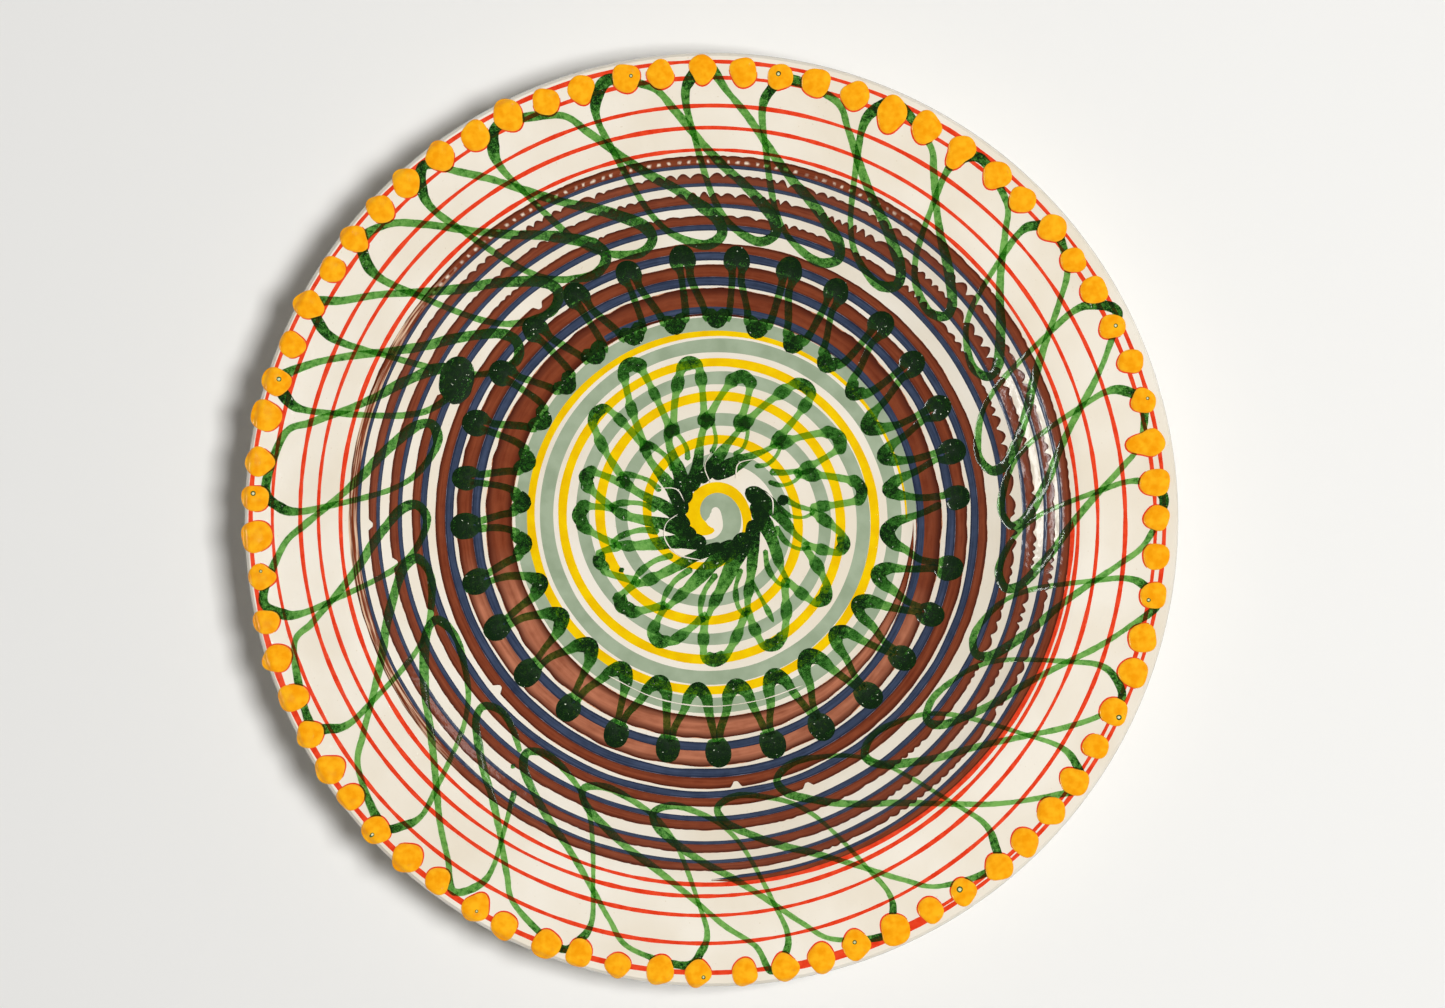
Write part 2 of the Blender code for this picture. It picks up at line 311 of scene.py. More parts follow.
def brushed_glaze(name, deep, pale, grain, rims):
    """A slip brushed on the turning wheel.

    rims are tones at its edges: where across the line each starts, where it is full, and its hex code.
    """
    made, tree, shader = new_material(name)
    where = add_node(tree, "TexCoord", output="Object")
    chart = add_node(tree, "UVMap", uv_map="trail")
    along = add_node(tree, "SeparateXYZ", [chart])
    across = along.node.outputs["Y"]
    mottle = add_node(tree, "TexNoise", {"Vector": where, "Scale": 1 / grain, "Detail": 3.0})
    stretched = add_node(tree, "Mapping", {"Vector": chart, "Scale": (45.0, 2.6, 1.0)})
    streak = add_node(tree, "TexNoise", {"Vector": stretched, "Scale": 1.0, "Detail": 4.0})
    share = add_node(tree, "Math", [mottle, 0.5], operation="MULTIPLY")
    share = add_node(tree, "Math", [streak, share], operation="ADD")
    share = add_node(tree, "MapRange", [share, 0.5, 1.0])
    colour = add_node(tree, "Mix", {0: share, 6: tone(deep), 7: tone(pale)}, output=2, data_type="RGBA")
    # Painted sheen: the pale pink laid by the attribute read here stands for soft light mirrored in the
    # glaze of the lower wall, over partly thin slip.
    washed = add_node(tree, "Attribute", output="Fac", attribute_name="washed")
    patchy = add_node(tree, "MapRange", [share, 0.1, 0.9, 0.4, 1.0])
    washed = add_node(tree, "Math", [washed, patchy], operation="MULTIPLY")
    colour = add_node(tree, "Mix", {0: washed, 6: colour, 7: tone("#BC7658")}, output=2, data_type="RGBA")
    reach = add_node(tree, "Math", [across], operation="ABSOLUTE")
    ragged = add_node(tree, "MapRange", [mottle, 0.3, 0.7, -0.06, 0.06])
    ragged = add_node(tree, "Math", [reach, ragged], operation="ADD")
    for start, full, rim in rims:
        edge = add_node(tree, "MapRange", [ragged, start, full])
        colour = add_node(tree, "Mix", {0: edge, 6: colour, 7: tone(rim)}, output=2, data_type="RGBA")
    dotted = add_node(tree, "Attribute", output="Fac", attribute_name="dotted")
    dots = add_node(tree, "Math", [pale_dots(tree, along, across, mottle), dotted], operation="MULTIPLY")
    colour = add_node(tree, "Mix", {0: dots, 6: colour, 7: tone("#EBD9C2")}, output=2, data_type="RGBA")
    worn = add_node(tree, "Attribute", output="Fac", attribute_name="worn")
    gaps = add_node(tree, "MapRange", [streak, 0.48, 0.6])
    worn = add_node(tree, "Math", [worn, gaps], operation="MULTIPLY")
    colour = add_node(tree, "Mix", {0: worn, 6: colour, 7: tone("#DDB898")}, output=2, data_type="RGBA")
    tree.links.new(colour, shader["Base Color"])
    shader["Roughness"].default_value = SLIP_SHINE
    tree.links.new(glaze_skin(tree, where), shader["Normal"])
    return made


# Iron-rich slip: warm brown, nearly black where it gathers, tan where it feathers out.
BROWN_RIMS = ((0.35, 0.9, "#45190D"), (0.93, 1.0, "#D08C64"))
brown_slip = brushed_glaze("iron_brown_slip", "#6D2E18", "#8C462A", 5 * MM, BROWN_RIMS)
# Cobalt in grey clay: a slaty blue that reads almost black beside the white.
BLUE_RIMS = ((0.5, 0.85, "#1D2336"), (0.88, 1.0, "#7F8598"))
blue_slip = brushed_glaze("cobalt_slip", "#283247", "#434F69", 4 * MM, BLUE_RIMS)
print("brushed:", brown_slip.name, blue_slip.name)

# %% [markdown]
# The ground is white slip, dipped, under the clear glaze. It is nearly even, a little warmer in clouds,
# with a few specks of iron from the clay below. Only the foot stays bare: buff clay, dry, gritty and
# grooved by the turning tool. The copper green is a film that tints what is beneath it, mixed with a
# solid dark body where it is thick, and both lie under a shine that grows where the surface turns away
# from the eye.


# %% Ground, bare clay and copper green
def cream_ground():
    """White slip under clear glaze."""
    made, tree, shader = new_material("cream_ground")
    where = add_node(tree, "TexCoord", output="Object")
    clouds = slip_colour(tree, where, "#F0E8D9", "#E8DDC9", 40 * MM)
    specks = add_node(tree, "TexNoise", {"Vector": where, "Scale": 1 / (1.1 * MM), "Detail": 1.0})
    specks = add_node(tree, "MapRange", [specks, 0.74, 0.78, 0.0, 0.35])
    colour = add_node(tree, "Mix", {0: specks, 6: clouds, 7: tone("#C9B48F")}, output=2, data_type="RGBA")
    tree.links.new(colour, shader["Base Color"])
    shader["Roughness"].default_value = 0.1
    tree.links.new(glaze_skin(tree, where), shader["Normal"])
    return made


def turning_grooves(tree, where):
    """The height of the fine rings that the turning tool leaves, with the clay's own grain."""
    x = add_node(tree, "SeparateXYZ", [where])
    y = x.node.outputs["Y"]
    x_squared = add_node(tree, "Math", [x, x], operation="MULTIPLY")
    y_squared = add_node(tree, "Math", [y, y], operation="MULTIPLY")
    out = add_node(tree, "Math", [x_squared, y_squared], operation="ADD")
    out = add_node(tree, "Math", [out], operation="SQRT")
    rings = add_node(tree, "Math", [out, 2 * math.pi / (1.3 * MM)], operation="MULTIPLY")
    rings = add_node(tree, "Math", [rings], operation="SINE")
    rings = add_node(tree, "Math", [rings, 0.3], operation="MULTIPLY")
    grain = add_node(tree, "TexNoise", {"Vector": where, "Scale": 1 / (0.9 * MM), "Detail": 3.0})
    return add_node(tree, "Math", [rings, grain], operation="ADD")


def bare_clay():
    """Unglazed buff earthenware, turned: rough, dry, and gritty."""
    made, tree, shader = new_material("bare_buff_clay")
    where = add_node(tree, "TexCoord", output="Object")
    cloud = add_node(tree, "TexNoise", {"Vector": where, "Scale": 1 / (4 * MM), "Detail": 3.0})
    cloud = add_node(tree, "MapRange", [cloud, 0.3, 0.7])
    buff = {0: cloud, 6: tone("#C79B74"), 7: tone("#D9B48E")}
    colour = add_node(tree, "Mix", buff, output=2, data_type="RGBA")
    grit = add_node(tree, "TexNoise", {"Vector": where, "Scale": 1 / (0.8 * MM), "Detail": 1.0})
    grit = add_node(tree, "MapRange", [grit, 0.68, 0.72])
    colour = add_node(tree, "Mix", {0: grit, 6: colour, 7: tone("#8F6746")}, output=2, data_type="RGBA")
    tree.links.new(colour, shader["Base Color"])
    shader["Roughness"].default_value = 0.85
    grooves = {"Strength": 0.5, "Distance": 0.15 * MM, "Height": turning_grooves(tree, where)}
    tree.links.new(add_node(tree, "Bump", grooves), shader["Normal"])
    return made


def edge_free_shine(tree, skin):
    """How much gloss shows: least face on, most at a glance, and none at a line's very edges."""
    facing = add_node(tree, "LayerWeight", {"Blend": 0.5, "Normal": skin}, output="Facing")
    shine = add_node(tree, "Math", [facing, 5.0], operation="POWER")
    shine = add_node(tree, "MapRange", [shine, 0.0, 1.0, 0.04, 1.0])
    chart = add_node(tree, "UVMap", uv_map="trail")
    across = add_node(tree, "SeparateXYZ", [chart], output="Y")
    across = add_node(tree, "Math", [across], operation="ABSOLUTE")
    inside = add_node(tree, "MapRange", [across, 0.965, 0.9])
    return add_node(tree, "Math", [shine, inside], operation="MULTIPLY")


def copper_green():
    """Copper-stained glaze: a tinted film over the colours beneath, opaque and dark where it is thick."""
    made, tree, shader = new_material("copper_green_glaze")
    where = add_node(tree, "TexCoord", output="Object")
    thick = add_node(tree, "Attribute", output="Fac", attribute_name="thick")
    mottle = add_node(tree, "TexNoise", {"Vector": where, "Scale": 1 / (1.6 * MM), "Detail": 4.0})
    mottle = add_node(tree, "MapRange", [mottle, 0.3, 0.7, -0.28, 0.28])
    grain = add_node(tree, "TexNoise", {"Vector": where, "Scale": 1 / (0.5 * MM), "Detail": 1.0})
    grain = add_node(tree, "MapRange", [grain, 0.5, 0.7, 0.06, -0.34])
    depth = add_node(tree, "Math", [mottle, grain], operation="ADD")
    depth = add_node(tree, "Math", [thick, depth], operation="ADD")
    film = add_node(tree, "MapRange", [depth, 0.0, 1.0])
    film = {0: film, 6: tone("#BAE2A8"), 7: tone("#31982A")}
    film = add_node(tree, "Mix", film, output=2, data_type="RGBA")
    body = add_node(tree, "MapRange", [depth, 0.3, 0.9])
    body = {0: body, 6: tone("#3F7A26"), 7: tone("#0A2409")}
    body = add_node(tree, "Mix", body, output=2, data_type="RGBA")
    holes = add_node(tree, "TexNoise", {"Vector": where, "Scale": 1 / (1.0 * MM), "Detail": 0.0})
    holes = add_node(tree, "MapRange", [holes, 0.81, 0.83])
    body = add_node(tree, "Mix", {0: holes, 6: body, 7: tone("#DDE5CC")}, output=2, data_type="RGBA")
    skin = glaze_skin(tree, where)
    tree.links.new(body, shader["Base Color"])
    shader["Roughness"].default_value = 0.12
    tree.links.new(skin, shader["Normal"])
    solid = tree.nodes["Principled BSDF"].outputs[0]
    see_through = add_node(tree, "BsdfTransparent", [film])
    opaque = add_node(tree, "MapRange", [depth, 0.42, 0.98, 0.02, 0.93])
    stained = add_node(tree, "MixShader", [opaque, see_through, solid])
    gloss = add_node(tree, "BsdfGlossy", {"Color": (1, 1, 1, 1), "Roughness": 0.08, "Normal": skin})
    surface = add_node(tree, "MixShader", [edge_free_shine(tree, skin), stained, gloss])
    tree.links.new(surface, tree.nodes["Material Output"].inputs["Surface"])
    return made


cream, clay, green = cream_ground(), bare_clay(), copper_green()
print(len(bpy.data.materials), "materials")

# %% [markdown]
# ## The thrown body
# The half section is drawn once and turned about the axis, as the wheel does it. Spin in edit mode would
# do, but the Screw modifier also merges the seam and the middle. The foot ring and the hollow inside it
# stay bare clay. Everything above the foot is dipped in the white slip and glazed.


# %% The thrown body
WHEEL_STEPS = 384
EVERY = 6  # one point in six of the fine face curve is enough for the wall
BARE_HEIGHT, BARE_RADIUS = 4.2 * MM, 84 * MM  # the glaze stops above and outside the foot


def deselect_all():
    bpy.ops.object.select_all(action="DESELECT")


def turn_body():
    face = list(zip(FACE_RADII[::EVERY] / MM, FACE_HEIGHTS[::EVERY] / MM))
    section = face + LIP[1:] + UNDERSIDE[1:]
    mesh = bpy.data.meshes.new("thrown_body")
    rows = [(r * MM, 0.0, h * MM) for r, h in section]
    mesh.from_pydata(rows, [(k, k + 1) for k in range(len(rows) - 1)], [])
    body = bpy.data.objects.new("thrown_body", mesh)
    bpy.context.scene.collection.objects.link(body)
    deselect_all()
    body.select_set(True)
    bpy.context.view_layer.objects.active = body
    spin = body.modifiers.new("wheel", "SCREW")
    spin.steps = spin.render_steps = WHEEL_STEPS
    spin.use_merge_vertices = True
    spin.merge_threshold = 0.01 * MM
    bpy.ops.object.modifier_apply(modifier=spin.name)
    bpy.ops.object.mode_set(mode="EDIT")
    bpy.ops.mesh.select_all(action="SELECT")
    bpy.ops.mesh.normals_make_consistent(inside=False)
    bpy.ops.object.mode_set(mode="OBJECT")
    body.data.materials.append(cream)
    body.data.materials.append(clay)
    for face in body.data.polygons:
        bare = face.center.z < BARE_HEIGHT and math.hypot(*face.center.xy) < BARE_RADIUS
        face.material_index = 1 if bare else 0
    bpy.ops.object.shade_smooth_by_angle(angle=math.radians(50))
    return body


thrown_body = turn_body()
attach(thrown_body, "root")
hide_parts("clay_body")
print("body", len(thrown_body.data.polygons), "faces")

# %% [markdown]
# ## Laying a line of slip
# A trailed or brushed line is a strip with a crown. A curve with a bevel would be quicker, but its width
# is the same on both sides and it has no map of its own. So each line starts as a flat grid, one way
# along the line and the other across it. The grid is laid on the face with its edges just under the
# surface, as wide to either side as the brush was there.

# %% Laying a line of slip
ACROSS = np.array([-1.0, -0.97, -0.88, -0.7, -0.4, 0.0, 0.4, 0.7, 0.88, 0.97, 1.0])
TUCK = 0.05 * MM  # how far a line's very edges dip under the face


def polar(angle, radius):
    """A place seen from above, from degrees counter-clockwise and millimetres out."""
    turn = np.radians(angle)
    return np.stack([radius * MM * np.cos(turn), radius * MM * np.sin(turn)], axis=-1)


def curve_through(values, place):
    """Values at fractional places along an evenly spaced list, on a smooth curve through it."""
    values = np.asarray(values, dtype=float)
    padded = np.concatenate([[2 * values[0] - values[1]], values, [2 * values[-1] - values[-2]]])
    k = np.clip(np.floor(place).astype(int), 0, len(values) - 2)
    t = np.asarray(place) - k
    a, b, c, d = padded[k], padded[k + 1], padded[k + 2], padded[k + 3]
    bend, twist = 2 * a - 5 * b + 4 * c - d, 3 * b - a - 3 * c + d
    return 0.5 * (2 * b + (c - a) * t + bend * t**2 + twist * t**3)


def distance_along(line):
    """Metres gone along a line at each of its points."""
    return np.concatenate([[0.0], np.cumsum(np.hypot(*np.diff(line[:, :2], axis=0).T))])


def run_through(keys, step):
    """Even steps along a smooth line through keys: x, y, and whatever else changes along it."""
    keys = np.asarray(keys, dtype=float)
    place = np.linspace(0, len(keys) - 1, 24 * (len(keys) - 1) + 1)
    line = np.stack([curve_through(column, place) for column in keys.T], axis=1)
    gone = distance_along(line)
    even = np.linspace(0, gone[-1], max(4, int(gone[-1] / step) + 1))
    return np.stack([np.interp(even, gone, column) for column in line.T], axis=1)


def wander(gone, spacing):
    """A smooth random swing between -1 and 1 along a line, with a new value at every spacing."""
    knots = chance.uniform(-1, 1, int(gone[-1] / spacing) + 4)
    return curve_through(knots, gone / spacing)


def lay_line(name, line, inner, outer, height, coat, flatness=2.0, bed=0.0, **painted):
    """A crowned strip along a line, on a bed of even height. inner and outer are its half widths.

    painted holds amounts along the line that its glaze reads: the painted sheen over partly thin slip,
    dotted, worn or thick.
    """
    count = len(line)
    deselect_all()
    bpy.ops.mesh.primitive_grid_add(x_subdivisions=count - 1, y_subdivisions=len(ACROSS) - 1, size=2)
    strip = bpy.context.object
    strip.name = name
    flat = np.empty(3 * len(strip.data.vertices))
    strip.data.vertices.foreach_get("co", flat)
    flat = flat.reshape(-1, 3)
    row = np.rint((flat[:, 0] + 1) / 2 * (count - 1)).astype(int)
    across = ACROSS[np.rint((flat[:, 1] + 1) / 2 * (len(ACROSS) - 1)).astype(int)]
    heading = np.gradient(line[:, :2], axis=0)
    heading /= np.maximum(np.hypot(*heading.T), 1e-12)[:, None]
    side = np.stack([-heading[:, 1], heading[:, 0]], axis=1)
    inner, outer, height = (np.broadcast_to(v, count) for v in (inner, outer, height))
    reach = np.where(across > 0, inner[row], outer[row]) * across
    place = line[row, :2] + side[row] * reach[:, None]
    crown = 1 - np.abs(across) ** flatness
    lift = height[row] * crown + np.where(np.abs(across) < 0.999, bed, -TUCK)
    laid = on_face(place[:, 0], place[:, 1], lift)
    strip.data.vertices.foreach_set("co", laid.ravel())
    gone = distance_along(line)
    per_corner = np.empty(len(strip.data.loops), dtype=int)
    strip.data.loops.foreach_get("vertex_index", per_corner)
    chart = strip.data.uv_layers.active or strip.data.uv_layers.new()
    chart.name = "trail"
    chart.data.foreach_set("uv", np.stack([gone[row], across], axis=1)[per_corner].ravel())
    for label, amount in painted.items():
        spots = strip.data.attributes.new(label, "FLOAT", "POINT")
        spots.data.foreach_set("value", np.broadcast_to(amount, count)[row].astype(float))
    strip.data.materials.append(coat)
    bpy.ops.object.shade_smooth_by_angle(angle=math.radians(35))
    return strip


def join(parts, name):
    deselect_all()
    for part in parts:
        part.select_set(True)
    bpy.context.view_layer.objects.active = parts[0]
    if len(parts) > 1:
        bpy.ops.object.join()
    parts[0].name = name
    return parts[0]


def hand_over(piece, slot_name, *nodes):
    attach(piece, "root")
    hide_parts(*nodes)
    print(piece.name, len(piece.data.polygons), "faces")


def spiral(quarters, first_angle, start=0.0, end=None, step=0.8 * MM):
    """A line winding clockwise through radii (mm) given at each quarter turn from the first angle."""
    end = len(quarters) - 1 if end is None else end
    length = (end - start) * np.mean(quarters) * MM * math.pi / 2
    place = np.linspace(start, end, int(length / step) + 2)
    return polar(first_angle - 90 * place, curve_through(quarters, place)), place


# %% [markdown]
# ## Banded slips
# The wheel turns slowly and the brush is drawn outwards, so each colour is one long spiral. A formula
# would wind it too evenly: the lists say how far out it is, in millimetres, at every quarter turn, and
# noise adds the small wander of the hand. Red is a thin line that winds out over the flange and runs
# round the orange drops, whose places are settled first for that.

# %% Where the drops go
DROPS = 71
TAILED = (2, 11, 13)
LARGE = (12, 13, 23, 33, 35, 36, 45, 58)
SWINGS = (2, 3, 4)  # how many times each swing of a drop's outline goes round it


def mark_out_drops():
    """Each drop's angle, distance out (mm), size, tail, and the start of each swing of its outline."""
    spots = []
    for number in range(DROPS):
        angle = 360 / DROPS * number + chance.uniform(-0.5, 0.5)
        radius = 183.5 + 2.0 * math.cos(math.radians(angle - 200)) + chance.uniform(-0.9, 0.9)
        size = (5.6 + chance.uniform(-0.5, 0.4) + (0.5 if number in LARGE else 0.0)) * MM
        tail = 0.6 if number in TAILED else chance.uniform(0, 0.15)
        spots.append((angle, radius, size, tail, chance.uniform(0, 6, len(SWINGS))))
    return spots


def outline(turn, size, tail, starts):
    """How far a drop reaches in each direction, measured from straight outwards."""
    reach = 1 + 0.035 * sum(np.sin(count * turn + start) for count, start in zip(SWINGS, starts))
    return size * reach * (1 + tail * np.clip(-np.cos(turn), 0, 1) ** 6)


drop_spots = mark_out_drops()
print(len(drop_spots), "places marked")

# %% Red line
RED_QUARTERS = [147.3, 148.9, 151.2, 150.7, 149.5, 153.5, 160.1, 159.6, 157.4, 161.3, 167.4, 168.5]
RED_QUARTERS += [168.5, 172.5, 178.6, 179.7, 180.5, 184.2, 187.2, 186.1, 184.1, 185.2]
line, place = spiral(RED_QUARTERS, 0, 0.0, 20.9)
gone = distance_along(line)
half = (0.82 + 0.14 * wander(gone, 25 * MM) + 0.1 * wander(gone, 5 * MM)) * MM
bearing = np.degrees(np.arctan2(line[:, 1], line[:, 0])) % 360
half = half + 0.4 * MM * np.clip(place - 16.5, 0, 1) * np.clip((60 - np.abs(bearing - 245)) / 10, 0, 1)
half = half * np.clip(np.minimum(gone, gone[-1] - gone) / (4 * MM), 0.15, 1)
reds = [lay_line("red_line", line, half, half, 0.08 * MM, red_slip, bed=0.04 * MM)]
for angle, radius, size, tail, starts in drop_spots:
    turn = np.radians(np.arange(chance.uniform(70, 130), chance.uniform(230, 300), 8.0))
    reach = outline(turn, size, tail, starts) + 0.1 * MM
    heading = turn + math.radians(angle)
    fringe = polar(angle, radius) + np.stack([reach * np.cos(heading), reach * np.sin(heading)], axis=1)
    half = 0.45 * MM * np.sin(np.linspace(0.1, math.pi - 0.1, len(turn))) + 0.05 * MM
    reds.append(lay_line("fringe", fringe, half, half, 0.06 * MM, red_slip, bed=0.03 * MM))
hand_over(join(reds, "red_line"), "red_slip", "red_slip_spiral")

# %% [markdown]
# Brown is broad in the well and thins on its way out. Its outer edge ran in the firing, mostly on the
# right, so the strip's outer half width is scalloped and its inner one is left smooth. Here and there the
# brush missed a notch. On the last lap it skipped into dots at the top, and wore through on the left.

# %% Brown band
BROWN_QUARTERS = [83.6, 86.4, 88.2, 90.2, 89.9, 97.6, 102.0, 102.2, 102.9, 108.6, 111.6, 111.6, 111.6]
BROWN_QUARTERS += [116.3, 121.2, 122.7, 122.7, 125.6, 130.0, 131.1, 130.6, 134.5, 138.4, 138.9, 138.6]
BROWN_QUARTERS += [141.8, 146.0, 146.3, 144.8, 147.3]
BROWN_HALVES = [0.4, 4.6, 5.6, 5.8, 5.4, 4.6, 3.6, 2.9, 2.8, 2.5, 2.4, 2.3, 2.2, 2.1, 2.1, 2.1, 2.1]
BROWN_HALVES += [2.2, 2.3, 2.3, 2.2, 2.1, 2.0, 1.9, 1.8, 1.9, 2.0, 2.3, 2.2, 1.2]
line, place = spiral(BROWN_QUARTERS, 0, step=0.6 * MM)
gone = distance_along(line)
half = curve_through(BROWN_HALVES, place) * MM * (1 + 0.05 * wander(gone, 30 * MM))
bearing = np.degrees(np.arctan2(line[:, 1], line[:, 0])) % 360
far_side = np.clip((85 - np.abs(bearing - 215)) / 20, 0, 1)  # the left and lower left, where it hardly ran
runny = np.clip((place - 12) / 4, 0.05, 1) * (1 - 0.85 * far_side) * np.clip(26 - place, 0.15, 1)
runny = runny * (0.7 + 1.2 * np.clip(np.cos(np.radians(bearing - 45)), 0, 1))
beat = math.pi * gone / (4.8 * MM) + 3.2 * wander(gone, 13 * MM)
drips = np.maximum(1.0 + 1.1 * wander(gone, 8 * MM), 0.15) * (np.abs(np.sin(beat)) ** 0.75 - 0.65)
notches = np.zeros_like(gone)
for notch in chance.uniform(0.15, 0.95, 12):
    notches += np.clip(1 - np.abs(gone - notch * gone[-1]) / (2.2 * MM), 0, 1)
outer_half = np.maximum(half + drips * runny * MM - notches * half * 1.4, 0.2 * MM)
outer_half = outer_half * (1 + 0.07 * wander(gone, 5 * MM))
inner_half = half * (1 + 0.04 * wander(gone, 9 * MM))
fade = np.clip(np.minimum(gone, gone[-1] - gone) / (12 * MM), 0.1, 1)
last_lap = np.clip(place - 24.5, 0, 1)
dotted = 0.9 * last_lap * np.clip((45 - np.abs(bearing - 100)) / 8, 0, 1)
worn = last_lap * np.clip((45 - np.abs(bearing - 180)) / 12, 0, 1)
# Painted sheen over partly thin slip: the first laps on the lower side go pale pink where soft light from
# above would be mirrored.
washed = np.clip((7.8 - place) / 0.8, 0, 1) * np.clip((78 - np.abs(bearing - 265)) / 14, 0, 1)
brown_band = lay_line(
    "brown_band",
    line,
    outer_half * fade,
    inner_half * fade,
    0.05 * MM,
    brown_slip,
    bed=0.03 * MM,
    dotted=dotted,
    washed=washed,
    worn=worn,
)
hand_over(brown_band, "brown_slip", "brown_slip_spiral")
brown_inner_edge = curve_through(BROWN_QUARTERS, place) * MM - half

# %% [markdown]
# Blue is painted against the inner edge of every brown lap, half a turn behind it. It would leave slivers
# of white if it were only wound by its list, so beyond the first laps it is pushed out until it meets the
# brown.

# %% Blue line
BLUE_QUARTERS = [88.2, 87.0, 87.0, 94.2, 97.0, 98.5, 98.5, 104.6, 107.8, 108.6, 108.0, 113.2, 116.7]
BLUE_QUARTERS += [119.7, 119.5, 122.7, 128.0, 127.6, 127.8, 132.6, 136.5, 136.5, 136.3, 139.6, 142.8]
BLUE_QUARTERS += [143.5, 142.5, 145.3]
brown_place = place
line, place = spiral(BLUE_QUARTERS, 180, 0.66)
gone = distance_along(line)
half = np.interp(place, [0, 4, 9, 13, 18, 27], [1.7, 1.95, 1.7, 1.25, 0.75, 0.65]) * MM
half = half * (1 + 0.08 * wander(gone, 12 * MM)) * np.clip((gone[-1] - gone) / (12 * MM), 0.1, 1)
out = np.hypot(*line.T)
beside = np.interp(place + 2, brown_place, brown_inner_edge) + 0.7 * MM - half
line = line * (np.where(place > 3, np.maximum(out, beside), out) / out)[:, None]
blue_line = lay_line("blue_line", line, half, half, 0.04 * MM, blue_slip, bed=0.06 * MM)
hand_over(blue_line, "blue_slip", "blue_slip_spiral")

# %% [markdown]
# Grey and yellow wind out together from the middle of the well, grey first and broad, yellow over it and
# thin. They start round, where the brush was set down, so the half width grows from nothing as a circle
# does.

# %% Well spirals
WELL_MIDDLE = polar(10, 1.0)  # the wheel's centre was a little off the plate's
GREY_QUARTERS = [2.7, 7.9, 7.4, 11.0, 16.0, 25.0, 29.5, 34.0, 38.5, 41.2, 46.0, 50.0, 54.5, 58.5, 62.0]
GREY_QUARTERS += [66.0, 69.5, 72.0, 75.0, 77.5, 79.5, 80.7, 82.0]
GREY_HALVES = [2.9, 3.1, 4.1, 2.8, 1.8, 2.3, 2.5, 2.5, 2.6, 2.6, 2.6, 2.6, 2.7, 2.8, 2.8, 2.8, 2.8, 2.8]
GREY_HALVES += [3.0, 3.2, 3.2, 3.0, 2.4]
YELLOW_QUARTERS = [4.4, 7.9, 12.9, 13.7, 19.0, 27.5, 32.9, 34.8, 42.1, 47.3, 51.0, 52.5, 58.3, 62.9]
YELLOW_QUARTERS += [65.0, 66.8, 71.2, 76.2, 77.0, 79.9]
YELLOW_HALVES = [2.5, 3.2, 2.5, 2.1, 1.7, 1.8, 2.0, 2.0, 2.0, 2.0, 2.0, 2.0, 1.9, 1.9, 1.9, 1.9, 1.9]
YELLOW_HALVES += [1.9, 1.2, 0.4]
line, place = spiral(GREY_QUARTERS, 180)
gone = distance_along(line)
half = curve_through(GREY_HALVES, place) * MM * (1 + 0.06 * wander(gone, 14 * MM))
half = half * np.sqrt(np.clip((gone + 0.5 * MM) / (3 * MM), 0, 1))
grey_band = lay_line("grey_band", line + WELL_MIDDLE, half, half, 0.04 * MM, grey_slip, bed=0.03 * MM)
hand_over(grey_band, "grey_slip", "grey_slip_spiral")
line, place = spiral(YELLOW_QUARTERS, 270)
gone = distance_along(line)
half = curve_through(YELLOW_HALVES, place) * MM * (1 + 0.07 * wander(gone, 12 * MM))
half = half * np.sqrt(np.clip((gone + 0.3 * MM) / (5 * MM), 0, 1))
yellow_line = lay_line("yellow_line", line + WELL_MIDDLE, half, half, 0.05 * MM, yellow_slip, bed=0.04 * MM)
hand_over(yellow_line, "yellow_slip", "yellow_slip_spiral")

# %% [markdown]
# ## Trailed green
# The green is squeezed from a trailer in three passes: loops that swing from the rim down over the wall,
# a zigzag of hairpins round the lower wall, and a rosette of petals in the well. Each pass is one line
# through keys that say where the hand was, how wide the bead is and how thick, so that it can pool where
# it turns and thin where it is pulled. Loops, hairpins and petals share one outline each, and lists give
# the place and reach of every one.


# %% Rim loops
def over_grey(spots):
    """How much each place lies over the grey band, from 0 to 1."""
    x, y = (spots - WELL_MIDDLE).T
    out, turn = np.hypot(x, y) / MM, (180 - np.degrees(np.arctan2(y, x))) / 90 % 4
    most = np.zeros(len(spots))
    for lap in range(0, len(GREY_QUARTERS) - 4, 4):
        centre, half = curve_through(GREY_QUARTERS, turn + lap), curve_through(GREY_HALVES, turn + lap)
        most = np.maximum(most, np.exp(-(((out - centre) / half) ** 4)))
    return most


def green_line(name, keys, height=0.18 * MM, swell=0.0):
    """A green bead along keys of angle, radius (mm), half width (mm) and thickness share.

    swell is how much it widens and darkens over the grey band.
    """
    table = [(*polar(angle, radius), half * MM, thick) for angle, radius, half, thick in keys]
    run = run_through(table, 0.6 * MM)
    gone = distance_along(run)
    knots = swell * (over_grey(run[:, :2]) - 0.35) * np.clip((0.5 - run[:, 3]) / 0.2, 0, 1)
    run[:, 2] *= 1 + knots
    run[:, 3] += 0.8 * knots
    half = run[:, 2] * (1 + 0.1 * wander(gone, 7 * MM) + 0.05 * wander(gone, 2 * MM))
    ends = np.minimum(gone, gone[-1] - gone)
    cap = np.clip(ends / np.maximum(half, 0.1 * MM), 0.003, 1)
    half = np.sqrt(cap * (2 - cap)) * np.maximum(half, 0.3 * MM)
    rise = height * np.clip(half / (2.0 * MM), 0.35, 1.5)
    thick = np.clip(run[:, 3] + 0.1 * wander(gone, 5 * MM), 0, 1)
    return lay_line(name, run, half, half, rise, green, flatness=2.2, bed=0.16 * MM, thick=thick)


